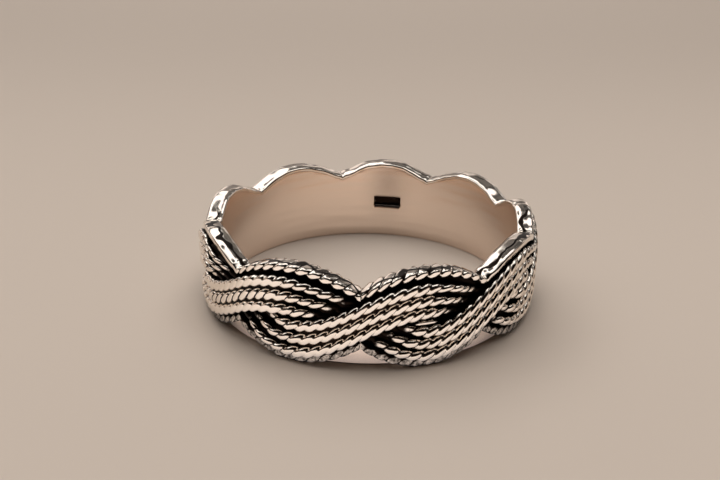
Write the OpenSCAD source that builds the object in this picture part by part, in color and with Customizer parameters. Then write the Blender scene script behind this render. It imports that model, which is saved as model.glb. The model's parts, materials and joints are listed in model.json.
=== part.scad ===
// Braided band ring. Millimetres, ring axis on Z, origin at the middle of the finger bore.
// One strand of three wires runs twice round an inner band and crosses itself at every notch of the
// scalloped edge: the turn that rises passes over, the turn that falls passes under.
// A twisted wire follows the scallops above and below the strand.

/* [Finger bore] */
// Radius of the finger bore
bore_r = 9; // [7:0.25:12]

/* [Inner band] */
// Wall of the inner band
band_wall = 0.5; // [0.3:0.05:0.8]
// Scallops round each edge, one for each crossing of the strand
scallops = 9; // [7:1:11]
// Where the crossing nearest the front would lie with even scallops, in degrees from +X
front_angle = -94.5; // [-110:0.5:-70]

/* [Strand wires] */
// Wires side by side in the strand
wire_count = 3; // [2:1:4]
// Width of one wire, measured along the bore
wire_w = 0.61; // [0.4:0.01:0.64]
// Space between neighbouring wires, measured along the bore
wire_gap = 0.12; // [0.05:0.01:0.25]
// Thickness of a wire midway between two crossings
wire_t = 0.78; // [0.5:0.01:0.9]
// Thickness of a wire that passes over
over_t = 0.38; // [0.3:0.01:0.6]
// Thickness of a wire pressed flat where it passes under
under_t = 0.33; // [0.25:0.01:0.5]
// How much of the round wire is polished away on the outside
polish_cut = 0.1; // [0:0.01:0.15]
// Thickness of the solder that joins the wires of the strand side by side
solder_t = 0.15; // [0.08:0.01:0.22]
// Opening between the strand's two turns at the middle of a scallop
eye_gap = 0.28; // [0.16:0.02:1]

/* [Edge wires] */
// Height of the edge wire, measured along the bore
rope_w = 0.49; // [0.3:0.01:0.6]
// Thickness of the edge wire, measured from the finger outwards
rope_t = 0.45; // [0.3:0.01:0.7]
// How much of the edge wire is polished away on the rim
rim_cut = 0.06; // [0:0.01:0.1]

/* [Gaps between pieces] */
// Gap between the band and the wires laid on it
seat_gap = 0.05; // [0.03:0.01:0.15]
// Gap between the turn that passes over and the one under it
layer_gap = 0.07; // [0.05:0.01:0.2]
// Gap between the strand and the edge wire beside it
edge_gap = 0.05; // [0.03:0.01:0.15]
// Gap at the seams where the strand's two turns meet
seam_gap = 0.05; // [0.03:0.01:0.15]

/* [Punched recess] */
// Width of the recess inside the back wall
mark_w = 1.8; // [1:0.05:2.5]
// Height of the recess
mark_h = 0.6; // [0.4:0.05:1.2]
// Depth of the recess
mark_d = 0.12; // [0.05:0.01:0.2]
// Where the recess lies, in degrees from +X
mark_angle = 82; // [60:0.5:110]
// How far the recess lies below mid-height
mark_drop = 0.12; // [0:0.02:0.8]

/* [Hidden] */

$fn = 180;
SILVER = [0.76, 0.73, 0.70];
POLISHED = [0.86, 0.82, 0.78];
DARK_SILVER = [0.45, 0.42, 0.40];

// Rings of the swept wires in one scallop, sides of each wire, and those that a solder groove takes up
scallop_rings = 10;
wire_sides = 10;
groove_sides = 2;
// Space left past the solids by cutting shapes
past = 1;

pitch_angle = 360 / scallops;
// Made by hand, so each notch has drifted from even spacing: shares of a scallop, from the front one on
drift = [0.06, 0.09, 0.15, -0.05, -0.05, -0.08, -0.04, -0.1, -0.02];
band_r = bore_r + band_wall;
seat_r = band_r + seat_gap;
over_r = seat_r + under_t + layer_gap;

// The strand, its half width and how far it sways above and below mid-height
wire_step = wire_w + wire_gap;
strand_half = (wire_count - 1) / 2 * wire_step + wire_w / 2;
sway = strand_half + eye_gap / 2;
// How sharply the strand climbs from one layer to the other, so that it is in its layer where the
// two turns overlap
climb = 1 / cos(asin(strand_half / sway));

// Height of the ring over the scallop peaks, with room for both turns and both edge wires
peak_z = sway + strand_half + edge_gap + rope_w;
band_h = 2 * peak_z;

// Middle of the edge wires
rope_r = seat_r + rope_t / 2;

// Seams lie at the middle of the scallop nearest the back, half a turn from the front crossing
seam_at = floor(scallops / 2) + 0.5;
seam_angle = asin(seam_gap / (2 * seat_r));

// How far notch n has drifted, and a share that runs smoothly from 0 to 1
function drift_at(n) = drift[(n % scallops) % len(drift)];
function ease(f) = f * f * (3 - 2 * f);
// Angle round the ring at s scallops from the front crossing
function turn(s) =
    let (n = floor(s), f = ease(s - n))
    front_angle + pitch_angle * (s + drift_at(n) * (1 - f) + drift_at(n + 1) * f);
// The middle of scallop n and half its span
function middle(n) = (turn(n) + turn(n + 1)) / 2;
function half_span(n) = (turn(n + 1) - turn(n)) / 2;
// Each scallop is an arc from notch to notch, as deep as the strand sways: its radius on a wall of radius r
function scallop_r(n, r) = ((r * sin(half_span(n))) ^ 2 + sway ^ 2) / (2 * sway);
// Height of that arc at s scallops from the front crossing
function edge_z(s, r) =
    let (n = floor(s), arc_r = scallop_r(n, r), off = r * sin(turn(s) - middle(n)))
    peak_z - arc_r + sqrt(arc_r ^ 2 - off ^ 2);
// Which layer the strand is in: 1 over, -1 under, 0 midway between two crossings
function layer(s, side) = sin(90 * max(-1, min(1, climb * side * cos(180 * s))));
// Height of the strand's middle
function strand_z(s, side) = side * sway * sin(180 * s);
// A value that runs from its midway size to the over or the under one
function blend(mid, over, under, k) = k > 0 ? mid + (over - mid) * k : mid - (under - mid) * k;

// One wire's rounded edge from angle a to angle b, t thick outwards from radius r, its outside cut flat
function wire_edge(r, z, t, a, b) =
    let (
        round_t = t + polish_cut,
        steps = wire_sides - (a == 180 ? 0 : groove_sides) - (b == -180 ? 0 : groove_sides)
    )
    [for (i = [0 : steps])
        let (angle = a + (b - a) * i / steps)
        [min(r + t, r + round_t / 2 + round_t / 2 * cos(angle)), z + wire_w / 2 * sin(angle)]];
// The strand's section: its wires side by side, flat on the inside, with solder in the grooves
function strand_section(r, z, t) =
    let (groove = acos(2 * solder_t / (t + polish_cut) - 1), last = wire_count - 1)
    [for (i = [last : -1 : 0])
        let (top = i == last ? 180 : groove, bottom = i == 0 ? -180 : -groove)
        each wire_edge(r, z + (i - last / 2) * wire_step, t, top, bottom)];
// The edge wire's section, with its top cut flat along the rim instead
function rope_section(s) =
    let (top = edge_z(s, rope_r), round_w = rope_w + rim_cut)
    [for (i = [0 : wire_sides - 1])
        let (a = 90 - i * 360 / wire_sides)
        [rope_r + rope_t / 2 * cos(a), min(top, top - rope_w + round_w / 2 + round_w / 2 * sin(a))]];
// A section's points, turned to their angle round the ring
function placed(section, angle) = [for (p = section) [p[0] * cos(angle), p[0] * sin(angle), p[1]]];

// Skins a row of sections of equally many points; a closed row joins its last section to its first
module skin(rings, closed) {
    count = len(rings);
    sides = len(rings[0]);
    walls = [
        for (j = [0 : count - (closed ? 1 : 2)], i = [0 : sides - 1])
            let (k = (i + 1) % sides, n = (j + 1) % count)
            [j * sides + i, n * sides + i, n * sides + k, j * sides + k]
    ];
    ends = closed ? [] : [
        [for (i = [0 : sides - 1]) i],
        [for (i = [sides - 1 : -1 : 0]) (count - 1) * sides + i]
    ];
    polyhedron(points = [for (ring = rings) each ring], faces = concat(walls, ends), convexity = 10);
}

// One turn of the strand, from seam to seam. side is 1 for the turn over at the front crossing, else -1
module strand(side) {
    steps = scallops * scallop_rings;
    rings = [
        for (j = [0 : steps])
            let (
                s = seam_at + j / scallop_rings,
                k = layer(s, side),
                inside = blend(seat_r, over_r, seat_r, k),
                thick = blend(wire_t, over_t, under_t, k),
                end = j == 0 ? 1 : j == steps ? -1 : 0
            )
            placed(strand_section(inside, strand_z(s, side), thick), turn(s) + end * seam_angle)
    ];
    skin(rings, closed = false);
}

// The outline of scallop n as a round block that runs out through the wall
module scallop_block(n) {
    arc_r = scallop_r(n, bore_r);
    translate([bore_r / 2, 0, peak_z - arc_r])
        rotate([0, 90, 0])
            cylinder(r = arc_r, h = bore_r / 2 + band_wall + past);
}

// The band's upper edge is scalloped and its lower edge is straight, level with the lower edge wire
module inner_band() {
    color(SILVER)
        difference() {
            intersection() {
                translate([0, 0, -peak_z])
                    cylinder(r = band_r, h = band_h + past);
                union() {
                    translate([0, 0, -peak_z - past])
                        cylinder(r = band_r + past, h = peak_z + past);
                    for (n = [0 : scallops - 1])
                        rotate(middle(n))
                            scallop_block(n);
                }
            }
            cylinder(r = bore_r, h = band_h + 4 * past, center = true);
            rotate(mark_angle)
                translate([0, -mark_w / 2, -mark_drop - mark_h / 2])
                    cube([bore_r + mark_d, mark_w, mark_h]);
        }
}

module edge_rope() {
    skin(
        [for (j = [0 : scallops * scallop_rings - 1])
            let (s = j / scallop_rings)
            placed(rope_section(s), turn(s))],
        closed = true
    );
}

module strand_one() {
    color(POLISHED) strand(1);
}

module strand_two() {
    color(POLISHED) strand(-1);
}

module top_edge_rope() {
    color(DARK_SILVER) edge_rope();
}

module bottom_edge_rope() {
    color(DARK_SILVER) mirror([0, 0, 1]) edge_rope();
}

inner_band();
strand_one();
strand_two();
top_edge_rope();
bottom_edge_rope();
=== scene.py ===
"""Braided band ring: the looks of the ring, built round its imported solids.

Laid out as an add-on and run as a script. Every length in the settings is in metres; the shape
functions work in millimetres, as the solids do.
"""

import json
import math
from types import SimpleNamespace

import bpy
import numpy as np
from mathutils import Matrix, Vector


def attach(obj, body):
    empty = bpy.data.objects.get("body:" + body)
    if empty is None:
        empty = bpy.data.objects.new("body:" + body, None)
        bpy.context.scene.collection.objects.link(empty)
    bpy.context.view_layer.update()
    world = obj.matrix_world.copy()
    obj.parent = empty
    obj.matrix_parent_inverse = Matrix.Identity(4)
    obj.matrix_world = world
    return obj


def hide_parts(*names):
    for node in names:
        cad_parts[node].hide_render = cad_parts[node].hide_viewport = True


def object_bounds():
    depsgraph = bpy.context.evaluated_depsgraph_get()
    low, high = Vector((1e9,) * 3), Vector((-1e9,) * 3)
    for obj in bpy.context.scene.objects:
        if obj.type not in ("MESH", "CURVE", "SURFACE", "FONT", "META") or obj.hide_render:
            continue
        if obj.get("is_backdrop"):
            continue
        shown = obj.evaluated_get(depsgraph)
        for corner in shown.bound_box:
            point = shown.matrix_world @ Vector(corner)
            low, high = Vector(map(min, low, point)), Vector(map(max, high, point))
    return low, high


bl_info = {
    "name": "Braided band ring",
    "version": (1, 0, 0),
    "blender": (4, 5, 0),
    "location": "View3D > Sidebar > Ring",
    "description": "Twisted silver wires braided round a band with a scalloped rim",
    "category": "Object",
}

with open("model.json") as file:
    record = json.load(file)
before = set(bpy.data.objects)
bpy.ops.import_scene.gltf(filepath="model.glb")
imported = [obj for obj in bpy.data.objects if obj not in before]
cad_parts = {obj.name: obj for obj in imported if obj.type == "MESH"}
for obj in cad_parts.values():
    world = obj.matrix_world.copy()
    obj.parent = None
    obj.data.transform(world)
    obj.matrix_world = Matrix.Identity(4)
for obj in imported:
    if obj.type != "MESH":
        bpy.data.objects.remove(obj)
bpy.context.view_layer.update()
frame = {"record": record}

MM = 0.001
BORE = frame["record"]["mounts"][0]["dims"]["r_mm"] * MM

# What the maker's hand left at each crossing, from the front on: its drift in scallops, how hard it was
# polished and which share thinner the wires go under it; and at the middle of the scallop after it, in
# millimetres: how much more is rubbed off the lower wires, how far both turns sag, how wide they spread
COLUMNS = ("drift", "polish", "thinner", "rubbed", "upper_sag", "lower_sag", "spread")
HAND = (
    (0.06, 0.35, 0.20, 0.03, 0.06, 0.20, -0.04),
    (0.09, 0.30, 0.35, 0.03, 0.0, 0.0, 0.0),
    (0.15, 0.50, 0.30, 0.03, 0.0, 0.0, 0.0),
    (-0.05, 0.40, 0.30, 0.03, 0.0, 0.0, 0.0),
    (-0.05, 0.60, 0.35, 0.03, 0.0, 0.0, 0.0),
    (-0.08, 0.50, 0.30, 0.03, 0.0, 0.0, 0.0),
    (-0.04, 0.40, 0.30, 0.03, 0.0, 0.0, 0.0),
    (-0.10, 0.60, 0.35, 0.05, 0.0, 0.0, 0.0),
    (-0.02, 1.00, 0.50, 0.04, 0.14, 0.16, 0.05),
)
# Waves along the filed rim: how many go round, their height against the first's, their start in radians
RIM_WAVES = ((23, 1.0, 1), (41, 0.8, 4), (67, 0.5, 2))
# How many scallops from the front the rim's twist starts to be filed away, and is all gone
WORN_FROM, WORN_TO = 0.97, 1.06

# Names of the attributes that a wire's path carries, each a vector
PLACE, SHAPE, LIMITS, FINISH, MARKS = "place", "shape", "limits", "finish", "marks"
# Further than any surface reaches, for a limit that cuts nothing
FAR = 100.0
# Points along a path from which its length is measured
DENSE = 6001

# How the polishing wheel reaches round a wire: the way it comes from, in degrees up from outwards, and
# the cosines of the angle off that way at which the crests are still black, and bright
STRAND_WHEEL = (0, -0.2, 0.6)
UPPER_EDGE_WHEEL = (95, -0.55, -0.25)
LOWER_EDGE_WHEEL = (-10, 0.6, 0.95)

# Kinds of node that the trees use often, and the setting that eases a range at both ends
MATH, VECTOR_MATH, RANGE = "ShaderNodeMath", "ShaderNodeVectorMath", "ShaderNodeMapRange"
NOISE, SPLIT = "ShaderNodeTexNoise", "ShaderNodeSeparateXYZ"
EASED = {"interpolation_type": "SMOOTHSTEP"}

DAYLIGHT = (1.0, 0.97, 0.94)
LAMPLIGHT = (1.0, 0.62, 0.42)
CARD_LIGHT = (1.0, 0.93, 0.93)


def linear(code):
    """The linear colour of an sRGB hex value."""
    values = [int(code[i : i + 2], 16) / 255 for i in (1, 3, 5)]
    return tuple(v / 12.92 if v <= 0.04045 else ((v + 0.055) / 1.055) ** 2.4 for v in values)


def length(name, description, value):
    """A length in metres, given in millimetres."""
    ways = {"min": 0.0, "precision": 5, "subtype": "DISTANCE", "unit": "LENGTH"}
    return bpy.props.FloatProperty(name=name, description=description, default=value * MM, **ways)


def degrees(name, description, value):
    """An angle, given in degrees."""
    return bpy.props.FloatProperty(
        name=name, description=description, default=math.radians(value), subtype="ANGLE", unit="ROTATION"
    )


def share(name, description, value, top=1.0):
    """A share or a strength from nothing to top."""
    return bpy.props.FloatProperty(
        name=name, description=description, default=value, min=0.0, max=top, subtype="FACTOR"
    )


def number(name, description, value, low, high):
    """A whole number."""
    return bpy.props.IntProperty(name=name, description=description, default=value, min=low, max=high)


def power(name, description, watts):
    """The power of a light."""
    return bpy.props.FloatProperty(name=name, description=description, default=watts, min=0.0, unit="POWER")


def colour(name, description, code):
    """A colour, given as an sRGB hex value."""
    return bpy.props.FloatVectorProperty(
        name=name, description=description, default=linear(code), size=3, min=0, max=1, subtype="COLOR"
    )


class BraidSizes(bpy.types.PropertyGroup):
    """Sizes of the band and the wires, the same as the solids have, and of the filing on the rim."""

    bore: length("Bore radius", "Radius of the finger bore", BORE / MM)
    band_wall: length("Band wall", "Wall of the inner band", 0.5)
    scallops: number("Scallops", "Scallops round each edge", 9, 5, 15)
    front: degrees("Front crossing", "Where the crossing nearest the front lies", -94.5)
    wires: number("Wires", "Wires side by side in the strand", 3, 2, 4)
    wire_width: length("Wire width", "Width of one wire along the bore", 0.61)
    wire_gap: length("Wire gap", "Space between neighbouring wires", 0.12)
    wire_mid: length("Wire thickness", "Thickness midway between two crossings", 0.78)
    wire_over: length("Thickness over", "Thickness of a wire that passes over", 0.38)
    wire_under: length("Thickness under", "Thickness of a wire that passes under", 0.33)
    eye: length("Eye", "Opening between the two turns at the middle of a scallop", 0.28)
    rope_height: length("Edge wire height", "Height of the edge wire along the bore", 0.49)
    rope_thickness: length("Edge wire thickness", "Thickness of the edge wire, outwards", 0.45)
    seat: length("Seat gap", "Gap between the band and the wires on it", 0.05)
    layer: length("Layer gap", "Gap between the turn over and the one under it", 0.07)
    edge: length("Edge gap", "Gap between the strand and the edge wire", 0.05)
    mark_width: length("Recess width", "Width of the bare recess inside the back wall", 1.8)
    mark_height: length("Recess height", "Height of the recess", 0.6)
    mark_depth: length("Recess depth", "Depth of the recess", 0.12)
    mark_drop: length("Recess drop", "How far the recess lies below mid-height", 0.12)
    mark_angle: degrees("Recess place", "Where the recess lies, from +X", 82)
    rim_wave: length("Rim wave", "How far the filed rim waves up and down", 0.012)
    rim_filed: length("Rim filing", "How much is filed off the height of the rim", 0.04)
    notch_fill: length("Notch rounding", "How much the filed notches are rounded out", 0.22)
    notch_reach: share("Notch reach", "How far that rounding reaches, as a share of a scallop", 0.07)


class BandSizes(bpy.types.PropertyGroup):
    """The band's own edges, and the drop of solder that stands on it in an eye of the braid."""

    rim_drop: length("Rim drop", "How far the band's edge lies below the rim", 0.26)
    inner_round: length("Rim round", "Rounding of the upper edge inside", 0.07)
    outer_round: length("Outer round", "Rounding of the upper edge outside", 0.05)
    low_round: length("Lower round", "Rounding of the lower edge", 0.1)
    bare_from: length("Bare from", "How far above the lower edge wire's edge the band turns satin", 0.2)
    solder_angle: degrees("Solder place", "Where the drop of solder stands, from +X", -72.1)
    solder_reach: degrees("Solder reach", "How far it reaches to each side, as an angle", 3.78152)
    solder_half: length("Solder half height", "How far it reaches up and down", 0.13)
    solder_drop: length("Solder drop", "How far it lies below mid-height", 0.22)
    solder_out: length("Solder thickness", "How far it stands out from the band", 0.5)


class TwistSizes(bpy.types.PropertyGroup):
    """How the wires are twisted, pressed and polished."""

    bump: length("Bump length", "Length of one bump of the twist", 0.66)
    groove: share("Groove", "How much of the wire is left in the grooves of the twist", 0.66)
    wire_half: length("Wire reach", "Half the width of a wire before it is polished", 0.335)
    wire_deep: length("Wire depth", "Half the thickness of a wire before it is polished", 0.32)
    lay_radius: length("Lay radius", "Radius at which the bumps of the strand are measured out", 10.1)
    duck: share("Duck", "Part of a scallop in which a wire ducks under the one over it", 0.25)
    cut_mid: length("Polish midway", "Depth polished off midway between crossings", 0.0)
    cut_over: length("Polish over", "Depth polished off where a wire passes over", 0.026)
    cut_hard: length("Polish hard", "Depth polished off where a crossing was polished hard", 0.08)
    cut_beads: length("Polish on beads", "Depth more polished off the beads of a middle wire", 0.02)
    cut_under: length("Polish under", "Depth polished off where a wire passes under", 0.02)
    solder_mid: length("Solder midway", "Thickness of the solder midway between crossings", 0.3)
    solder_thin: length("Solder pressed", "Thickness of the solder at a crossing", 0.14)
    solder_inset: length("Solder inset", "How far the solder stays inside the strand's sides", 0.2)
    rim_front: length("Rim polish, front", "Depth filed off the edge wire at the front", 0.09)
    rim_back: length("Rim polish, back", "Depth filed off the edge wire at the sides and back", 0.01)
    softness: length("Edge softness", "How softly a polished flat rounds over", 0.06)
    rim_softness: length("Rim softness", "How softly the flat of the rim rounds over", 0.03)
    rings: number("Rings a bump", "Rings of vertices in one bump", 10, 4, 20)
    sides: number("Sides", "Sides of a wire's section", 26, 8, 48)


class FinishColours(bpy.types.PropertyGroup):
    """Colours of the metal and of the stage."""

    silver: colour("Silver", "Polished sterling silver", "#F6EDE2")
    satin: colour("Satin", "Rubbed sterling silver inside the band", "#FCEBDD")
    oxide: colour("Oxide", "Blackened silver in the hollows", "#201814")
    floor: colour("Floor", "Plain pale floor", "#D4C6B9")


class StageSizes(bpy.types.PropertyGroup):
    """Camera and light."""

    distance: length("Camera distance", "From the middle of the bore to the camera", 51.5285)
    elevation: degrees("Camera elevation", "Above the floor", 23.0038)
    roll: degrees("Camera roll", "Turn about the line of sight", -0.9667)
    box_power: power("Softbox power", "Power of the softbox over the ring", 0.25)
    pool_power: power("Window power", "Power of the light on the floor in front", 0.035)
    card_power: power("Card power", "Power of the bounce card before the ring", 0.0071)
    sky: share("Wall behind", "Brightness of the pale wall behind the ring", 0.75, 4.0)
    panes: share("Panes", "Brightness of the panes overhead that the metal mirrors", 1.5, 10.0)
    room: share("Room in front", "Brightness of the dim room in front of the ring", 0.03, 4.0)


def in_millimetres(group):
    """A group's settings by name, with its lengths turned to millimetres."""
    values = {name: getattr(group, name) for name in group.__annotations__}
    for name in values:
        if group.bl_rna.properties[name].unit == "LENGTH":
            values[name] /= MM
    return SimpleNamespace(**values)


def add(tree, kind, inputs=(), **settings):
    """Adds a node with its settings, and sets or links its inputs: a list, or a dict by name or number."""
    node = tree.nodes.new(kind)
    node.location = (len(tree.nodes) % 12 * 190, -(len(tree.nodes) // 12) * 260)
    for name, value in settings.items():
        setattr(node, name, value)
    for key, value in inputs.items() if isinstance(inputs, dict) else enumerate(inputs):
        if isinstance(value, bpy.types.Node):
            value = next(s for s in value.outputs if s.enabled)
        if isinstance(value, bpy.types.NodeSocket):
            tree.links.new(value, node.inputs[key])
        else:
            node.inputs[key].default_value = value
    return node


# The shape of the braid, in millimetres


class Braid:
    """The paths of the ring's edges and wires, as the solids have them."""

    def __init__(self, sizes):
        vars(self).update(vars(in_millimetres(sizes)))
        self.band_r = self.bore + self.band_wall
        self.seat_r = self.band_r + self.seat
        self.over_r = self.seat_r + self.wire_under + self.layer
        self.step = self.wire_width + self.wire_gap
        self.half = (self.wires - 1) / 2 * self.step + self.wire_width / 2
        self.sway = self.half + self.eye / 2
        self.climb = 1 / math.cos(math.asin(self.half / self.sway))
        self.peak = self.sway + self.half + self.edge + self.rope_height
        self.rope_r = self.seat_r + self.rope_thickness / 2
        self.seam_at = self.scallops // 2 + 0.5

    def hand(self, column, n):
        """A column of the maker's table, at the crossings or scallops n from the front."""
        values = np.array([row[COLUMNS.index(column)] for row in HAND])
        return values[np.asarray(n).astype(int) % self.scallops % len(values)]

    def turn(self, s):
        """Angle round the ring at s scallops from the front crossing, in radians."""
        s = np.asarray(s, float)
        n = np.floor(s)
        f = smooth(0, 1, s - n)
        drift = self.hand("drift", n) * (1 - f) + self.hand("drift", n + 1) * f
        return self.front + math.tau / self.scallops * (s + drift)

    def edge_z(self, s, r):
        """Height of the scalloped edge at s scallops, on a wall of radius r."""
        n = np.floor(s)
        first, last = self.turn(n), self.turn(n + 1)
        arc = ((r * np.sin((last - first) / 2)) ** 2 + self.sway**2) / (2 * self.sway)
        off = r * np.sin(self.turn(s) - (first + last) / 2)
        return self.peak - arc + np.sqrt(arc**2 - off**2)

    def layer_at(self, s, side):
        """1 where the strand passes over, -1 where it passes under, 0 midway."""
        run = np.clip(self.climb * side * np.cos(math.pi * s), -1, 1)
        return np.sin(math.pi / 2 * run)

    def inside_at(self, k):
        """Radius of the strand's inner side in layer k."""
        return blend(self.seat_r, self.over_r, self.seat_r, k)

    def strand_z(self, s, side):
        """Height of the strand's middle."""
        return side * self.sway * np.sin(math.pi * s)

    def sag_at(self, s, side):
        """How far the strand sags at s, and how much wider than even its wires are spread."""
        n = np.floor(s)
        raised = self.strand_z(s, side) > 0
        sag = np.where(raised, self.hand("upper_sag", n), self.hand("lower_sag", n))
        bulge = np.sin(math.pi * s) ** 2
        return bulge * sag, bulge * self.hand("spread", n)

    def worn_at(self, s):
        """0 at the front, where the rim's twist still shows, and 1 where the rim is filed smooth."""
        return smooth(WORN_FROM, WORN_TO, np.minimum(s % self.scallops, -s % self.scallops))

    def rim_z(self, s, r):
        """Height of the filed rim: it waves a little and its notches are rounded out."""
        around = s / self.scallops * math.tau
        wave = sum(high * np.sin(waves * around + start) for waves, high, start in RIM_WAVES)
        notch = self.notch_fill * near_notch(s, self.notch_reach)
        return self.edge_z(s, r) + self.worn_at(s) * (self.rim_wave * wave + notch - self.rim_filed)


def blend(mid, over, under, k):
    """A value that runs from its midway size to the over or the under one."""
    return np.where(k > 0, mid + (over - mid) * k, mid - (under - mid) * k)


def smooth(low, high, value):
    """0 up to low, 1 from high on, and eased between them."""
    f = np.clip((value - low) / (high - low), 0, 1)
    return f * f * (3 - 2 * f)


def near_notch(s, reach):
    """1 at a notch, falling away on both sides within about reach of a scallop."""
    return np.exp(-(((s - np.round(s)) / reach) ** 2))


def apart(angle, target):
    """How far angles lie from a target, the short way round."""
    return (angle - target + math.pi) % math.tau - math.pi


def closed_ends(count):
    """1 along a wire and 0 at its two end rings, which draws them together."""
    ends = np.ones(count)
    ends[0] = ends[-1] = 0
    return ends


def bump_places(braid, sizes, s, radius, height, rings):
    """Places along s that lie evenly along the path, some rings to each bump, and how many bumps."""
    run = np.hypot(radius * np.diff(braid.turn(s)), np.diff(height))
    total = np.concatenate([[0], np.cumsum(run)])
    bumps = round(total[-1] / sizes.bump)
    return np.interp(np.linspace(0, total[-1], bumps * rings + 1), total, s), bumps


def twist(count, bumps, seed):
    """Turn of the twist along a wire. Handmade: its bumps are a little longer or shorter in places."""
    uneven = 0.35
    f = np.linspace(0, 1, count)
    rng = np.random.default_rng(seed)
    wave = sum(
        rng.uniform(0.3, 1) * np.sin(math.tau * (k * f + rng.uniform())) for k in rng.integers(5, 40, 6)
    )
    wave = uneven * (wave - wave[0]) * np.sin(math.pi * f) / 3
    return math.pi * bumps * f + wave


def wire_path(name, wires):
    """A mesh that holds the paths of some wires, with what the twisted wire tree needs at each point."""
    points, vectors = [], {PLACE: [], SHAPE: [], LIMITS: [], FINISH: [], MARKS: []}
    for wire in wires:
        count = len(wire["angle"])
        columns = {
            PLACE: (wire["angle"], wire["radius"] * MM, wire["height"] * MM),
            SHAPE: (wire["depth"] * MM, wire["width"] * MM, wire["soft"]),
            LIMITS: (wire["inside"] * MM, wire["outside"] * MM, wire["rim"] * MM),
            FINISH: (wire["phase"], wire["shine"], wire["crest"]),
            MARKS: (1 - closed_ends(count), 0, 0),
        }
        for key, parts in columns.items():
            vectors[key].append(np.stack([np.broadcast_to(p, count) for p in parts], 1))
        angle, radius, height = vectors[PLACE][-1].T
        points.append(np.stack([radius * np.cos(angle), radius * np.sin(angle), height], 1))
    mesh = bpy.data.meshes.new(name)
    mesh.from_pydata(np.concatenate(points).tolist(), [], [])
    for key, parts in vectors.items():
        attribute = mesh.attributes.new(key, "FLOAT_VECTOR", "POINT")
        attribute.data.foreach_set("vector", np.concatenate(parts).astype(np.float32).ravel())
    obj = bpy.data.objects.new(name, mesh)
    bpy.context.scene.collection.objects.link(obj)
    return obj


# The tree that sweeps a twisted wire along its path

# Its inputs that are numbers, and the values they start with
WIRE_INPUTS = {
    "Points": 100,
    "Sides": 24,
    "Edge softness": 0.03 * MM,
    "Rim side": 1.0,
    "Open side": 0.0,
    "Open from": -0.45,
    "Open to": 0.1,
    "Groove width": 0.12,
    "Black below": 0.7,
    "Bright above": 0.78,
}
# Points nearer than this, in metres, become one: along a wire's seam and at its ends
SAME_POINT = 2e-7


def add_reach(tree, angle, phase, groove, groove_width):
    """How far the twisted pair's outline reaches at an angle: 1 on its crests, less in its grooves."""
    lag = add(tree, MATH, [angle, phase], operation="SUBTRACT")
    lobe = add(tree, MATH, [lag], operation="COSINE")
    soft = add(tree, MATH, [groove_width, groove_width], operation="MULTIPLY")
    above = add(tree, MATH, [lobe, lobe, soft], operation="MULTIPLY_ADD")
    below = add(tree, MATH, [soft, 1.0], operation="ADD")
    ratio = add(tree, MATH, [above, below], operation="DIVIDE")
    ridge = add(tree, MATH, [ratio], operation="SQRT")
    rise = add(tree, MATH, [1.0, groove], operation="SUBTRACT")
    return add(tree, MATH, [ridge, rise, groove], operation="MULTIPLY_ADD")


def add_shine(tree, given, angle, reach, finish, cut_out, cut_rim):
    """Bright where the polishing wheel reached, black in the grooves and on the hidden side."""
    crest = add(tree, RANGE, [reach, given["Black below"], given["Bright above"]], **EASED)
    away = add(tree, MATH, [angle, given["Open side"]], operation="SUBTRACT")
    toward = add(tree, MATH, [away], operation="COSINE")
    facing = add(tree, RANGE, [toward, given["Open from"], given["Open to"]], **EASED)
    crest = add(tree, MATH, [crest, finish[2]], operation="MULTIPLY")
    open_crest = add(tree, MATH, [crest, facing], operation="MULTIPLY")
    cut = add(tree, MATH, [cut_out, cut_rim], operation="MAXIMUM")
    # A flat shows bare metal once a few hundredths of a millimetre are off
    flat = add(tree, RANGE, [cut, 0.005 * MM, 0.03 * MM], **EASED)
    rubbed = add(tree, MATH, [open_crest, flat], operation="MAXIMUM")
    return add(tree, MATH, [rubbed, finish[1]], operation="MULTIPLY")


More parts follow.
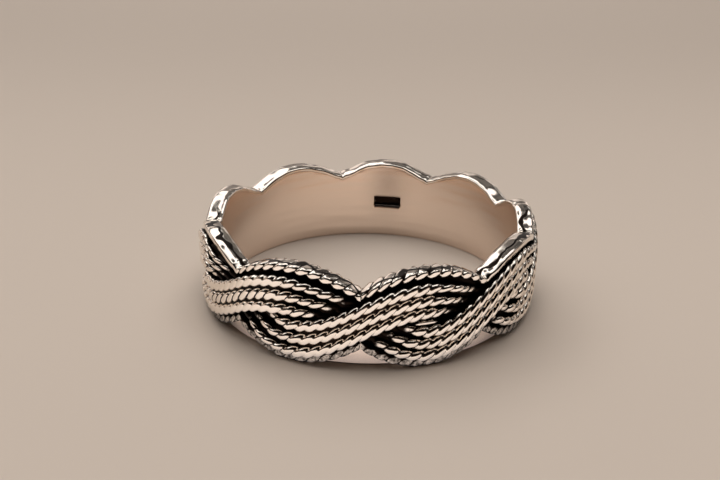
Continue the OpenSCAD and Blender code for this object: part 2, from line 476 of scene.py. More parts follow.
def twisted_wire_tree():
    """Sweeps a pair of twisted wires along each path, pressed and polished flat at its limits."""
    old = bpy.data.node_groups.get("Twisted wire")
    if old:
        return old
    tree = bpy.data.node_groups.new("Twisted wire", "GeometryNodeTree")
    face = tree.interface
    face.new_socket("Path", in_out="INPUT", socket_type="NodeSocketGeometry")
    for name, value in WIRE_INPUTS.items():
        kind = "NodeSocketInt" if isinstance(value, int) else "NodeSocketFloat"
        face.new_socket(name, in_out="INPUT", socket_type=kind).default_value = value
    face.new_socket("Metal", in_out="INPUT", socket_type="NodeSocketMaterial")
    face.new_socket("Wire", in_out="OUTPUT", socket_type="NodeSocketGeometry")
    given = add(tree, "NodeGroupInput").outputs
    softness, rim_side = given["Edge softness"], given["Rim side"]

    # A grid with a ring of points for each point of the path, and each point's angle in its ring
    across = add(tree, MATH, [given["Sides"], 1.0], operation="ADD")
    grid = add(tree, "GeometryNodeMeshGrid", {"Vertices X": given["Points"], "Vertices Y": across})
    index = add(tree, "GeometryNodeInputIndex")
    whole = add(tree, MATH, [index, across], operation="DIVIDE")
    ring = add(tree, MATH, [whole], operation="FLOOR")
    side = add(tree, MATH, [index, across], operation="MODULO")
    turned = add(tree, MATH, [side, given["Sides"]], operation="DIVIDE")
    angle = add(tree, MATH, [turned, math.tau], operation="MULTIPLY")

    read = []
    for key in (PLACE, SHAPE, LIMITS, FINISH, MARKS):
        named = add(tree, "GeometryNodeInputNamedAttribute", {"Name": key}, data_type="FLOAT_VECTOR")
        inputs = {"Geometry": given["Path"], "Value": named.outputs["Attribute"], "Index": ring}
        sample = add(tree, "GeometryNodeSampleIndex", inputs, data_type="FLOAT_VECTOR", domain="POINT")
        read.append(add(tree, SPLIT, [sample]).outputs)
    place, shape, limits, finish, marks = read

    # The section, pressed at its inner limit, polished at its outer one and filed along the rim
    reach = add_reach(tree, angle, finish[0], shape[2], given["Groove width"])
    outline = []
    for way, half, middle in (("COSINE", shape[0], place[1]), ("SINE", shape[1], place[2])):
        off = add(tree, MATH, [reach, add(tree, MATH, [angle], operation=way)], operation="MULTIPLY")
        outline.append(add(tree, MATH, [off, half, middle], operation="MULTIPLY_ADD"))
    radius, height = outline
    pressed = add(tree, MATH, [radius, limits[0], softness], operation="SMOOTH_MAX")
    polished = add(tree, MATH, [pressed, limits[1], softness], operation="SMOOTH_MIN")
    flipped = add(tree, MATH, [height, rim_side], operation="MULTIPLY")
    filed = add(tree, MATH, [flipped, limits[2], softness], operation="SMOOTH_MIN")
    level = add(tree, MATH, [filed, rim_side], operation="MULTIPLY")

    # The section's place round the ring
    ways = [add(tree, MATH, [place[0]], operation=way) for way in ("COSINE", "SINE")]
    x, y = (add(tree, MATH, [polished, way], operation="MULTIPLY") for way in ways)
    point = add(tree, "ShaderNodeCombineXYZ", [x, y, level])
    swept = add(tree, "GeometryNodeSetPosition", {"Geometry": grid.outputs["Mesh"], "Position": point})

    cut_out = add(tree, MATH, [radius, polished], operation="SUBTRACT")
    cut_rim = add(tree, MATH, [flipped, filed], operation="SUBTRACT")
    shine = add_shine(tree, given, angle, reach, finish, cut_out, cut_rim)
    inputs = {"Geometry": swept, "Name": "shine", "Value": shine}
    stored = add(tree, "GeometryNodeStoreNamedAttribute", inputs, data_type="FLOAT", domain="POINT")
    # The faces that would bridge one wire's end to the next one's start go
    bridge = add(tree, "FunctionNodeCompare", [marks[0], 0.99], data_type="FLOAT", operation="GREATER_EQUAL")
    parted = add(tree, "GeometryNodeDeleteGeometry", {"Geometry": stored, "Selection": bridge}, domain="FACE")
    closed = add(tree, "GeometryNodeMergeByDistance", {"Geometry": parted, "Distance": SAME_POINT})
    shaded = add(tree, "GeometryNodeSetShadeSmooth", {"Geometry": closed})
    real = add(tree, "GeometryNodeRealizeInstances", {"Geometry": shaded})
    dressed = add(tree, "GeometryNodeSetMaterial", {"Geometry": real, "Material": given["Metal"]})
    add(tree, "NodeGroupOutput", [dressed])
    return tree


def wire_piece(node, wires, metal, sides, softness, rim_side, wheel):
    """Sweeps some wires with the twisted wire tree into the finished piece that stands for a node."""
    path = wire_path(node + "_twist", wires)
    tree = twisted_wire_tree()
    modifier = path.modifiers.new("Twisted wire", "NODES")
    modifier.node_group = tree
    values = {
        "Points": len(path.data.vertices),
        "Sides": sides,
        "Edge softness": softness * MM,
        "Rim side": rim_side,
        "Open side": math.radians(wheel[0]),
        "Open from": wheel[1],
        "Open to": wheel[2],
        "Metal": metal,
    }
    for item in tree.interface.items_tree:
        if item.in_out == "INPUT" and item.name in values:
            modifier[item.identifier] = values[item.name]
    piece = finish_piece(path)
    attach(piece, "root")
    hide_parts(node)


def finish_piece(source):
    """Turns an object's evaluated mesh into a plain piece with the same name."""
    name = source.name
    bpy.context.view_layer.update()
    evaluated = source.evaluated_get(bpy.context.evaluated_depsgraph_get())
    mesh = bpy.data.meshes.new_from_object(evaluated)
    source.modifiers.clear()
    old = source.data
    source.data = mesh
    bpy.data.meshes.remove(old)
    mesh.name = name
    for attribute in [a for a in mesh.attributes if a.name in (PLACE, SHAPE, LIMITS, FINISH, MARKS)]:
        mesh.attributes.remove(attribute)
    if not len(mesh.polygons):
        raise RuntimeError(f"{name} came out empty")
    return source


# Materials


def new_material(name):
    """An empty material, its tree, and the place in the ring that its patterns follow."""
    material = bpy.data.materials.new(name)
    material.use_nodes = True
    tree = material.node_tree
    tree.nodes.clear()
    return material, tree, add(tree, "ShaderNodeTexCoord").outputs["Object"]


def finish_metal(tree, bright, dark, light, rough, dents, deep):
    """Ends a metal's tree: its tint from dark to light, its roughness, and dents up to deep metres."""
    tint = add(tree, "ShaderNodeMix", {0: bright, 6: (*dark, 1), 7: (*light, 1)}, data_type="RGBA").outputs[2]
    bump = add(tree, "ShaderNodeBump", {"Height": dents, "Strength": 1.0, "Distance": deep})
    inputs = {"Base Color": tint, "Roughness": rough, "Normal": bump, "Metallic": 1.0}
    shader = add(tree, "ShaderNodeBsdfPrincipled", inputs)
    add(tree, "ShaderNodeOutputMaterial", {"Surface": shader})


def oxidised_silver():
    """Sterling silver wire, drawn, twisted, blackened and then polished by hand on its crests.
    It gives the eye mirror-bright tips over hollows that stay black."""
    name = "oxidised_sterling_silver"
    return bpy.data.materials.get(name) or darkened_silver(name, 0.03, 1500.0, 2.0)


def burnished_silver():
    """The same wire where it is filed and burnished into the rim, so that it is softly dented too.
    It gives the eye bright and dark reflections that wander over the rim."""
    name = "burnished_sterling_silver"
    return bpy.data.materials.get(name) or darkened_silver(name, 0.09, 700.0, 1.0, joint_line)


def joint_line(tree, place):
    """1 along the joint of the band and its edge wire, on the front half where it isn't filed away."""
    flat = add(tree, VECTOR_MATH, [place, (1.0, 1.0, 0.0)], operation="MULTIPLY")
    radius = add(tree, VECTOR_MATH, [flat], operation="LENGTH").outputs["Value"]
    # The line lies by the band's outside and wanders by about 0.3 mm, in waves a millimetre long
    joint, wander = BORE + 0.55 * MM, 1.6 * MM
    wave = add(tree, NOISE, {"Vector": place, "Scale": 900.0, "Detail": 1.0}).outputs["Fac"]
    moved = add(tree, MATH, [wave, wander, radius], operation="MULTIPLY_ADD")
    off = add(tree, MATH, [moved, joint + wander / 2], operation="SUBTRACT")
    width = add(tree, MATH, [off], operation="ABSOLUTE")
    near = add(tree, RANGE, [width, 0.17 * MM, 0.1 * MM])
    away = add(tree, SPLIT, [place]).outputs[1]
    front = add(tree, RANGE, [away, 3 * MM, -1 * MM])
    return add(tree, MATH, [near, front], operation="MULTIPLY")


def darkened_silver(name, dent, per_metre, detail, blackened=None):
    """A silver that is black where the shine attribute is low and where blackened says so. Its dents
    are up to dent millimetres deep, and per_metre and detail set how many there are."""
    colours = bpy.context.scene.ring_finish
    material, tree, place = new_material(name)
    shine = add(tree, "ShaderNodeAttribute", attribute_name="shine").outputs["Fac"]
    # Patina edges wander by about 0.1 mm
    patina = add(tree, NOISE, {"Vector": place, "Scale": 6000.0, "Detail": 3.0}).outputs["Fac"]
    wander = add(tree, MATH, [patina, 0.5], operation="SUBTRACT")
    moved = add(tree, MATH, [wander, 0.55, shine], operation="MULTIPLY_ADD")
    if blackened:
        moved = add(tree, MATH, [moved, blackened(tree, place)], operation="SUBTRACT")
    bright = add(tree, RANGE, [moved, 0.28, 0.62], **EASED).outputs[0]
    rough = add(tree, RANGE, [bright, 0.0, 1.0, 0.42, 0.13]).outputs[0]
    # Hand polishing leaves the metal softly uneven, a millimetre or less across
    dents = add(tree, NOISE, {"Vector": place, "Scale": per_metre, "Detail": detail}).outputs["Fac"]
    finish_metal(tree, bright, colours.oxide, colours.silver, rough, dents, dent * MM)
    return material


def satin_silver():
    """Sterling silver sheet, rolled and rubbed satin on the inside of the band.
    It gives the eye a soft warm sheen with faint streaks round the finger."""
    colours = bpy.context.scene.ring_finish
    material, tree, place = new_material("satin_sterling_silver")
    around = add(tree, "ShaderNodeUVMap", uv_map="around").outputs["UV"]
    # Rubbing marks: 4 mm long round the ring, 0.5 mm apart
    streaks = add(tree, "ShaderNodeMapping", {"Vector": around, "Scale": (0.25, 2.0, 1.0)})
    marks = add(tree, NOISE, {"Vector": streaks, "Scale": 1.0, "Detail": 0.0}).outputs["Fac"]
    # A faint soft darker patch, 2 to 3 mm across and taller than wide, lies on the wall above the recess
    squat = 0.6
    spot = (1.3 * MM, 8.9 * MM, squat * 1.2 * MM)
    squashed = add(tree, VECTOR_MATH, [place, (1.0, 1.0, squat)], operation="MULTIPLY")
    away = add(tree, VECTOR_MATH, [squashed, spot], operation="DISTANCE").outputs["Value"]
    patch_tint = add(tree, RANGE, [away, -0.6 * MM, 2.4 * MM, 0.62], **EASED).outputs[0]
    finish_metal(tree, patch_tint, (0, 0, 0), colours.satin, 0.26, marks, 0.03 * MM)
    return material


# The inner band

# Sections round the band, and how far past each end of the recess its wall stands, in radians
BAND_SECTIONS = 900
MARK_WALL = 0.0015
# Heights in millimetres: where the rows inside stop following the rim, how close a row lies above and
# below the recess, how far into it the next one lies, and between which heights the rows outside lie
# close, for the drop of solder
LEVEL_INSIDE = 0.9
MARK_LIP = 0.01
MARK_INSET = 0.2
CLOSE_FROM, CLOSE_TO = -0.9, 0.1
# Less than any gap between two points, and nearer to the outer wall than its rounded edges reach
HAIR = 1e-6
ON_WALL = 0.01


def quarter(radius, height, size, start, steps):
    """Rows of points on a quarter circle about a middle, at some steps from a start, in degrees."""
    angles = np.radians(start + np.array(steps))
    return [(radius + size * math.cos(a), height + size * math.sin(a)) for a in angles]


def band_rows(braid, band, s):
    """The band's section at places s: radii and heights by row, and which rows lie outside."""
    low_middle = -braid.peak + band.low_round
    inner_start = braid.rim_z(s, braid.bore) - band.rim_drop - band.inner_round
    shoulder = braid.rim_z(s, braid.band_r) - band.rim_drop - band.outer_round
    mark_high = -braid.mark_drop + braid.mark_height / 2
    mark_low = -braid.mark_drop - braid.mark_height / 2
    steps = np.linspace(0, 90, 5)

    # Down the inside, past the recess, and round the lower edge
    levels = [inner_start + (LEVEL_INSIDE - inner_start) * f for f in np.linspace(0, 1, 9)]
    levels += [0.6, 0.35, mark_high + MARK_LIP, mark_high, mark_high - MARK_INSET]
    levels += [mark_low + MARK_INSET, mark_low, mark_low - MARK_LIP, -0.8, -1.4, -2.0]
    inside = [(braid.bore, level) for level in levels]
    inside += quarter(braid.bore + band.low_round, low_middle, band.low_round, 180, steps)

    # Up the outside and over the rim
    outside = quarter(braid.band_r - band.low_round, low_middle, band.low_round, 270, steps)
    levels = [*np.linspace(low_middle, CLOSE_FROM, 12)[1:-1], *np.linspace(CLOSE_FROM, CLOSE_TO, 18)]
    levels += [CLOSE_TO + (shoulder - CLOSE_TO) * f for f in np.linspace(0, 1, 10)[1:]]
    outside += [(braid.band_r, level) for level in levels]
    outside += quarter(braid.band_r - band.outer_round, shoulder, band.outer_round, 0, (30, 60, 90))
    over = quarter(braid.bore + band.inner_round, inner_start, band.inner_round, 90, steps[:-1])

    rows = [*inside, *outside, *over]
    radius, height = (np.stack([np.broadcast_to(row[k], len(s)) for row in rows], 1) for k in (0, 1))
    is_outside = np.repeat([False, True, False], [len(inside), len(outside), len(over)])
    return radius, height, is_outside


def add_around_map(mesh, braid, angle, height, faces):
    """A UV map in millimetres: round the ring and up, each face kept in one piece at the seam."""
    places = np.stack([np.unwrap(angle)[:, None] * braid.bore + 0 * height, height], 2).reshape(-1, 2)
    corner = places[faces].astype(np.float32)
    span = math.tau * braid.bore
    corner[:, :, 0] -= np.round((corner[:, :, 0] - corner[:, :1, 0]) / span) * span
    mesh.uv_layers.new(name="around").uv.foreach_set("vector", corner.ravel())


def band_angles(braid, s, half):
    """Angles of the sections at places s. The four nearest the recess's ends are moved onto them."""
    angle = braid.turn(s)
    for edge in (-half - MARK_WALL, -half, half, half + MARK_WALL):
        off = apart(angle, braid.mark_angle + edge)
        nearest = int(np.argmin(np.abs(off)))
        angle[nearest] -= off[nearest]
    return angle


def in_recess(braid, angle, half, radius, height):
    """True for the points of the bore that sink into the recess."""
    beside = np.abs(apart(angle, braid.mark_angle))[:, None]
    level = np.abs(height + braid.mark_drop) < braid.mark_height / 2 + HAIR
    return (beside < half + MARK_WALL / 10) & level & (radius < braid.bore + HAIR)


def solder_lens(band, angle, height):
    """Above 0 within the drop of solder that stands in the eye of the scallop right of the front."""
    aside = apart(angle, band.solder_angle)[:, None] / band.solder_reach
    return 1 - aside**2 - ((height + band.solder_drop) / band.solder_half) ** 2


def closed_mesh(name, angle, radius, height):
    """A smooth mesh of closed sections all the way round, and the corners of its faces."""
    x, y = radius * np.cos(angle)[:, None], radius * np.sin(angle)[:, None]
    points = np.stack([x, y, height], 2).reshape(-1, 3) * MM
    count, sides = radius.shape
    i, j = np.meshgrid(np.arange(count), np.arange(sides), indexing="ij")
    here, there = i * sides, (i + 1) % count * sides
    up = (j + 1) % sides
    faces = np.stack([here + j, here + up, there + up, there + j], 2).reshape(-1, 4)
    mesh = bpy.data.meshes.new(name)
    mesh.from_pydata(points.tolist(), [], faces.tolist())
    mesh.polygons.foreach_set("use_smooth", [True] * len(faces))
    return mesh, faces


class RING_OT_inner_band(bpy.types.Operator):
    """Build the inner band: satin inside, with its scalloped rim, its straight lower edge and the recess"""

    bl_idname = "ring.inner_band"
    bl_label = "Inner band"

    def execute(self, context):
        braid = Braid(context.scene.ring_braid)
        band = in_millimetres(context.scene.ring_band)
        s = np.linspace(0, braid.scallops, BAND_SECTIONS + 1)[:-1]
        half = braid.mark_width / 2 / braid.bore
        angle = band_angles(braid, s, half)
        radius, height, is_outside = band_rows(braid, band, s)
        sunk = in_recess(braid, angle, half, radius, height)
        radius = radius + braid.mark_depth * sunk
        lens = solder_lens(band, angle, height)
        on_wall = radius > braid.band_r - ON_WALL
        radius = radius + band.solder_out * smooth(-0.6, 0.05, lens) * on_wall
        mesh, faces = closed_mesh("inner_band_silver", angle, radius, height)

        mesh.materials.append(satin_silver())
        mesh.materials.append(oxidised_silver())
        # Under the lower edge wire's notches the band shows bare, rubbed satin like its inside
        covered = height > -braid.edge_z(s, braid.rope_r)[:, None] + band.bare_from
        outer = is_outside[faces % len(is_outside)].all(1) & covered.ravel()[faces[:, 0]]
        dark = outer | sunk.ravel()[faces].any(1)
        mesh.polygons.foreach_set("material_index", dark.astype(np.int32))
        # The solder is rubbed bright; the recess keeps a brown patina, lighter than beside the wires
        glow = np.maximum(0.02, np.where(sunk, 0.22, smooth(0, 0.4, lens) * on_wall))
        shine = mesh.attributes.new("shine", "FLOAT", "POINT")
        shine.data.foreach_set("value", glow.astype(np.float32).ravel())
        add_around_map(mesh, braid, angle, height, faces)
        piece = bpy.data.objects.new("inner_band_silver", mesh)
        context.scene.collection.objects.link(piece)
        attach(piece, "root")
        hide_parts("inner_band")
        return {"FINISHED"}


# The strand

# How much of a groove hard polish takes away, how much deeper a groove is beside a bead that was kept,
# and where a wire is pressed under, as shares of the wire
GROOVE_POLISHED, GROOVE_BEADED, GROOVE_PRESSED = 0.08, 0.16, 0.05
# How hard the polish is where the wires between the outer ones start to keep their beads, and all do
BEADS_FROM, BEADS_TO = 0.6, 0.95
# How much wider hard polish presses a wire, and how much of its thinning goes once it comes out again
POLISH_WIDENS, THIN_REGAINED = 0.04, 0.5
# How near a crossing that change comes, in scallops, and which shares of all shine and of the crests'
# shine are lost under it
REGAINED_WITHIN, BLACK_UNDER, DULL_UNDER = 0.1, 0.85, 0.4
# How far the twist of each wire is turned from its neighbour's, in radians
NEXT_PHASE = 1.1
# The solder bar's points, and its middle and half thickness, which its limits cut flat
SOLDER_POINTS, SOLDER_MIDDLE, SOLDER_DEEP = 380, 0.07, 0.6


def strand_wire(braid, sizes, s, side, i, bumps):
    """The path of wire i in one turn of the strand: polished flat where it passes over, thin under."""
    last = braid.wires - 1
    place = i - last / 2
    middle = braid.strand_z(s, side)
    layer = braid.layer_at(s, side)
    past_notch = s - np.round(s)

    # A wire ducks under just before it meets the edge of the turn that passes over it
    off = place * braid.step * np.sign(middle)
    meet = np.arcsin((braid.half - off) / 2 / braid.sway) / math.pi
    ducked = 1 - smooth(meet, np.minimum(0.5, meet + sizes.duck), np.abs(past_notch))
    k = np.where(layer > 0, layer, -ducked)
    inside = braid.inside_at(k)
    outside = inside + blend(braid.wire_mid, braid.wire_over, braid.wire_under, k)

    # Polish flattens what passes over; where it is hard, a wire between the outer ones keeps its beads
    crossings = np.arange(braid.scallops + 1)
    polish = np.interp(s % braid.scallops, crossings, braid.hand("polish", crossings)) * np.maximum(k, 0)
    beaded = smooth(BEADS_FROM, BEADS_TO, polish) * (0 < i < last)
    cut_over = sizes.cut_over + (sizes.cut_hard - sizes.cut_over) * polish + sizes.cut_beads * beaded
    rubbed = braid.hand("rubbed", np.floor(s)) * np.sin(math.pi * s) ** 2 * (k < 0)
    cut = blend(sizes.cut_mid, cut_over, sizes.cut_under, k) + rubbed

    # Wires are thinner before they go under than where they come out again
    regained = THIN_REGAINED * smooth(-REGAINED_WITHIN, REGAINED_WITHIN, past_notch)
    slim = 1 - braid.hand("thinner", np.round(s)) * (1 - regained) * smooth(0.0, 1.0, -layer)
    sag, spread = braid.sag_at(s, side)
    deep = sizes.wire_deep * slim
    ends = closed_ends(len(s))
    hollow = GROOVE_POLISHED * polish - GROOVE_BEADED * beaded - GROOVE_PRESSED * np.maximum(-k, 0)
    return {
        "angle": braid.turn(s),
        "radius": outside + cut - deep,
        "height": middle - sag + place * (braid.step + spread),
        "depth": deep * ends,
        "width": sizes.wire_half * slim * ends * (1 + POLISH_WIDENS * polish),
        "soft": sizes.groove + hollow,
        "inside": inside,
        "outside": outside,
        "rim": FAR,
        "phase": twist(len(s), bumps, 10 * i + side + 3) + NEXT_PHASE * i,
        "shine": 1 - BLACK_UNDER * smooth(0.55, 1.0, -k),
        "crest": 1 - DULL_UNDER * smooth(0.0, 0.5, -k),
    }


def solder_bar(braid, sizes, side):
    """The path of the solder under and between the wires of one turn, a plain flat bar."""
    s = np.linspace(braid.seam_at, braid.seam_at + braid.scallops, SOLDER_POINTS)
    k = braid.layer_at(s, side)
    inside = braid.inside_at(k)
    ends = closed_ends(len(s))
    return {
        "angle": braid.turn(s),
        "radius": inside + SOLDER_MIDDLE,
        "height": braid.strand_z(s, side) - braid.sag_at(s, side)[0],
        "depth": SOLDER_DEEP * ends,
        "width": (braid.half - sizes.solder_inset) * ends,
        "soft": 1.0,
        "inside": inside,
        "outside": inside + blend(sizes.solder_mid, sizes.solder_thin, sizes.solder_thin, k),
        "rim": FAR,
        "phase": 0.0,
        "shine": 0.0,
        "crest": 0.0,
    }


class RING_OT_strand(bpy.types.Operator):
    """Build the braided strand: twisted wires side by side, twice round the band, soldered together"""

    bl_idname = "ring.strand"
    bl_label = "Braided strand"

    def execute(self, context):
        braid = Braid(context.scene.ring_braid)
        sizes = in_millimetres(context.scene.ring_twist)
        dense = np.linspace(braid.seam_at, braid.seam_at + braid.scallops, DENSE)
        for node, side in (("strand_one", 1), ("strand_two", -1)):
            middle = braid.strand_z(dense, side)
            s, bumps = bump_places(braid, sizes, dense, sizes.lay_radius, middle, sizes.rings)
            wires = [strand_wire(braid, sizes, s, side, i, bumps) for i in range(braid.wires)]
            wires.append(solder_bar(braid, sizes, side))
            wire_piece(node, wires, oxidised_silver(), sizes.sides, sizes.softness, 1.0, STRAND_WHEEL)
        return {"FINISHED"}


# The edge wires

# How many more rings of points than the strand's a bump of the edge wire has
MORE_RINGS = 2
# How far out of the middle of its room the filed wire lies, in millimetres: all round, times the sine of
# its angle from +X, and times that sine once more behind
LEAN, LEAN_SINE, LEAN_BEHIND = 0.03, 0.12, 0.18
# How much half an edge wire's thickness is over half its room, and how much more it is filed behind
PRESS, PRESS_BEHIND = 0.12, 0.33
# How far an edge wire fills its gap to the strand, and how far the upper one stays off the bore
TALLER, OFF_BORE = 0.04, 0.005
# Shine of the lower edge wire, and how much the upper one loses near a notch, within what reach
LOWER_SHINE, NOTCH_DULL, NOTCH_DULL_REACH = 0.42, 0.4, 0.15


def edge_wire(braid, sizes, s, side, bumps):
    """The path of an edge wire. The upper one, side 1, spreads over the band and is filed at the rim."""
    upper = side > 0
    angle = braid.turn(s)
    worn = braid.worn_at(s) * upper
    cut = sizes.rim_front + (sizes.rim_back - sizes.rim_front) * worn
    inner = braid.bore + OFF_BORE if upper else braid.seat_r
    outer = braid.rope_r + braid.rope_thickness / 2
    middle = (inner + outer) / 2
    top = braid.rim_z(s, middle) if upper else braid.edge_z(s, middle)
    tall = (braid.rope_height + TALLER + cut) / 2
    # At the back the rim leans in a little, because the fatter wire is cut at the outer limit
    behind = np.maximum(np.sin(angle), 0)
    dull = NOTCH_DULL * (1 - worn) * near_notch(s, NOTCH_DULL_REACH)
    return {
        "angle": angle,
        "radius": middle + worn * (LEAN + LEAN_SINE * np.sin(angle) + LEAN_BEHIND * behind),
        "height": side * (top + cut - tall),
        "depth": (outer - inner) / 2 + PRESS + PRESS_BEHIND * worn * behind,
        "width": tall,
        "soft": sizes.groove + (1 - sizes.groove) * worn,
        "inside": inner,
        "outside": outer,
        "rim": top,
        "phase": twist(len(s), bumps, 70 + side),
        "shine": 1 - dull if upper else LOWER_SHINE,
        "crest": 1.0,
    }


class RING_OT_edge_ropes(bpy.types.Operator):
    """Build the two twisted edge wires that follow the scallops, the upper one filed flat along the rim"""

    bl_idname = "ring.edge_ropes"
    bl_label = "Edge wires"

    def execute(self, context):
        braid = Braid(context.scene.ring_braid)
        sizes = in_millimetres(context.scene.ring_twist)
        dense = np.linspace(0, braid.scallops, DENSE)
        edge = braid.edge_z(dense, braid.rope_r)
        s, bumps = bump_places(braid, sizes, dense, braid.rope_r, edge, sizes.rings + MORE_RINGS)
        for node, side, metal, wheel in (
            ("top_edge_rope", 1, burnished_silver(), UPPER_EDGE_WHEEL),
            ("bottom_edge_rope", -1, oxidised_silver(), LOWER_EDGE_WHEEL),
        ):
            wires = [edge_wire(braid, sizes, s, side, bumps)]
            wire_piece(node, wires, metal, sizes.sides, sizes.rim_softness, side, wheel)
        return {"FINISHED"}


# The stage


def paper_floor(context, level):
    """A plain matt paper floor at a level, in metres. It gives the eye an even pale ground."""
    reach = 3.0
    mesh = bpy.data.meshes.new("floor")
    corners = [(-reach, -reach, level), (reach, -reach, level), (reach, reach, level), (-reach, reach, level)]
    mesh.from_pydata(corners, [], [(0, 1, 2, 3)])
    paper = bpy.data.materials.new("matt_paper_floor")
    paper.use_nodes = True
    inputs = paper.node_tree.nodes["Principled BSDF"].inputs
    inputs["Base Color"].default_value = (*context.scene.ring_finish.floor, 1)
    inputs["Roughness"].default_value = 0.9
    inputs["Specular IOR Level"].default_value = 0.1
    mesh.materials.append(paper)
    floor = bpy.data.objects.new("floor", mesh)
    context.scene.collection.objects.link(floor)
    return floor


def soft_room(stage):
    """A plain room: dim and warm in front, a pale patchy wall behind, and bright panes overhead."""
    world = bpy.data.worlds.new("soft_room")
    world.use_nodes = True
    tree = world.node_tree
    tree.nodes.clear()
    way = add(tree, "ShaderNodeTexCoord").outputs["Generated"]
    back, up = add(tree, SPLIT, [way]).outputs[1:]
    fade = add(tree, RANGE, [back, -0.1, 0.6, stage.room, stage.sky], **EASED)
    # Broad soft patches, as the walls and openings of a plain room give
    patches = add(tree, NOISE, {"Vector": way, "Scale": 3.0, "Detail": 0.0}).outputs["Fac"]
    patch = add(tree, RANGE, [patches, 0.42, 0.58, 0.3, 1.3], **EASED)
    # The pale wall ends in a dim ceiling some 25 degrees up
    ceiling = add(tree, RANGE, [up, 0.36, 0.48, 1.0, 0.12], **EASED)
    lit = add(tree, MATH, [fade, patch], operation="MULTIPLY")
    lit = add(tree, MATH, [lit, ceiling], operation="MULTIPLY")
    colours = {0: fade, 6: (*LAMPLIGHT, 1), 7: (*DAYLIGHT, 1)}
    tint = add(tree, "ShaderNodeMix", colours, data_type="RGBA").outputs[2]
    wall = add(tree, "ShaderNodeBackground", {"Color": tint, "Strength": lit})

    # Bright panes overhead with dark bars between them, for the metal to mirror
    shifted = add(tree, "ShaderNodeMapping", {"Vector": way, "Location": (0.4, 0.0, 0.0)})
    bars = add(tree, NOISE, {"Vector": shifted, "Scale": 2.4, "Detail": 0.0}).outputs["Fac"]
    pane = add(tree, RANGE, [bars, 0.41, 0.46, 0.04, stage.panes], **EASED)
    overhead = add(tree, RANGE, [up, 0.48, 0.6], **EASED)
    behind = add(tree, RANGE, [back, -0.3, 0.1], **EASED)
    pane = add(tree, MATH, [pane, overhead], operation="MULTIPLY")
    pane = add(tree, MATH, [pane, behind], operation="MULTIPLY")
    window = add(tree, "ShaderNodeBackground", {"Color": (*DAYLIGHT, 1), "Strength": pane})
    both = add(tree, "ShaderNodeAddShader", [wall, window])
    add(tree, "ShaderNodeOutputWorld", [both])
    return world


def area_light(name, size, place, watts, tint):
    """A rectangular light that faces down, with its size and place in metres."""
    light = bpy.data.lights.new(name, "AREA")
    light.shape = "RECTANGLE"
    light.size, light.size_y = size
    light.energy = watts
    light.color = tint
    lamp = bpy.data.objects.new(name, light)
    lamp.location = place
    bpy.context.scene.collection.objects.link(lamp)
    return lamp


def fade_to_edges(light):
    """Makes a light fade softly over the outer fifth on each of its sides."""
    light.use_nodes = True
    tree = light.node_tree
    spot = add(tree, "ShaderNodeNewGeometry").outputs["Parametric"]
    left = 1.0
    for across in add(tree, SPLIT, [spot]).outputs[:2]:
        off = add(tree, MATH, [across, 0.5], operation="SUBTRACT")
        off = add(tree, MATH, [off], operation="ABSOLUTE")
        fade = add(tree, RANGE, [off, 0.5, 0.3], **EASED)
        left = add(tree, MATH, [fade, left], operation="MULTIPLY")
    tree.links.new(left.outputs[0], tree.nodes["Emission"].inputs["Strength"])


def aim_camera(context, stage):
    """A camera at the photograph's place, with its focal length and middle in the photograph's pixels."""
    wide, tall, focal, middle_x, middle_y = 720, 480, 825.547, 368.565, 247.052
    data = bpy.data.cameras.new("camera")
    data.sensor_width = 36
    data.lens = focal / wide * data.sensor_width
    data.shift_x = -(middle_x - wide / 2) / wide
    data.shift_y = (middle_y - tall / 2) / wide
    data.clip_start = 0.001
    ahead = Vector((0, math.cos(stage.elevation), -math.sin(stage.elevation)))
    right = Vector((1, 0, 0))
    up = right.cross(ahead)
    c, s = math.cos(stage.roll), math.sin(stage.roll)
    turn = Matrix((c * right - s * up, s * right + c * up, -ahead)).transposed()
    camera = bpy.data.objects.new("camera", data)
    camera.matrix_world = Matrix.Translation(-ahead * stage.distance) @ turn.to_4x4()
    context.scene.collection.objects.link(camera)
    context.scene.camera = camera


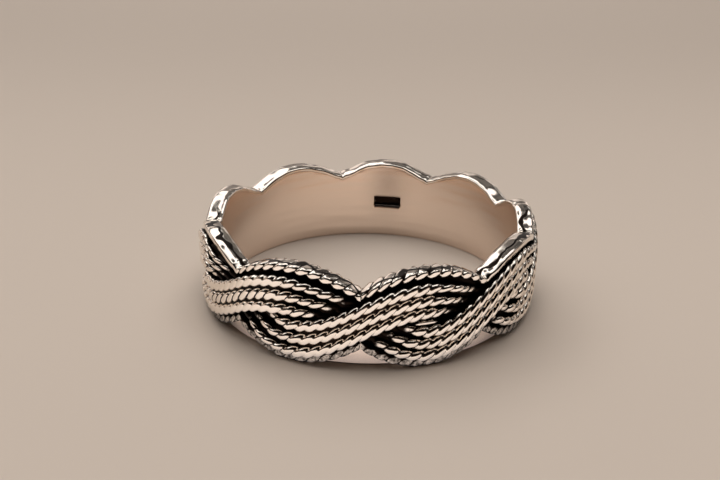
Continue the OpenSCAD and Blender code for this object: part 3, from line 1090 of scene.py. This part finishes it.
class RING_OT_stage(bpy.types.Operator):
    """Set up the pale floor, the soft light and the camera"""

    bl_idname = "ring.stage"
    bl_label = "Stage"

    def execute(self, context):
        stage = context.scene.ring_stage
        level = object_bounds()[0][2]
        paper_floor(context, level)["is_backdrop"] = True
        context.scene.world = soft_room(stage)
        box = area_light("softbox", (0.3, 0.34), (-0.02, 0.19, 0.24), stage.box_power, DAYLIGHT)
        box.visible_glossy = False
        # A pool of light on the floor in front of the ring, which the outer faces of the wires reflect
        window = area_light("window", (0.3, 0.15), (0, -0.03, 0.16), stage.pool_power, DAYLIGHT)
        window.data.spread = math.radians(60)
        window.visible_glossy = False
        # A bounce card lies just over the floor before the ring and faces up, seen only in the metal
        place = (0, -0.0275, level + 0.05 * MM)
        card = area_light("card", (0.1, 0.05), place, stage.card_power, CARD_LIGHT)
        card.rotation_euler = (math.pi, 0, 0)
        card.visible_camera = False
        fade_to_edges(card.data)
        aim_camera(context, stage)
        context.scene.view_settings.view_transform = "Standard"
        return {"FINISHED"}


class RING_PT_panel(bpy.types.Panel):
    """The ring's pieces and settings"""

    bl_idname = "RING_PT_panel"
    bl_label = "Braided band ring"
    bl_space_type = "VIEW_3D"
    bl_region_type = "UI"
    bl_category = "Ring"

    def draw(self, context):
        for operator in OPERATORS:
            self.layout.operator(operator.bl_idname)
        for name, group in GROUPS.items():
            box = self.layout.box()
            for prop in group.__annotations__:
                box.prop(getattr(context.scene, name), prop)


OPERATORS = (RING_OT_inner_band, RING_OT_strand, RING_OT_edge_ropes, RING_OT_stage)
GROUPS = {
    "ring_braid": BraidSizes,
    "ring_band": BandSizes,
    "ring_twist": TwistSizes,
    "ring_finish": FinishColours,
    "ring_stage": StageSizes,
}


def register():
    for group in GROUPS.values():
        bpy.utils.register_class(group)
    for operator in OPERATORS:
        bpy.utils.register_class(operator)
    bpy.utils.register_class(RING_PT_panel)
    for name, group in GROUPS.items():
        setattr(bpy.types.Scene, name, bpy.props.PointerProperty(type=group))


def unregister():
    for name in GROUPS:
        delattr(bpy.types.Scene, name)
    bpy.utils.unregister_class(RING_PT_panel)
    for cls in (*OPERATORS, *GROUPS.values()):
        bpy.utils.unregister_class(cls)


def main():
    register()
    bpy.ops.ring.stage()
    bpy.ops.ring.inner_band()
    bpy.ops.ring.strand()
    bpy.ops.ring.edge_ropes()


if __name__ == "__main__":
    main()
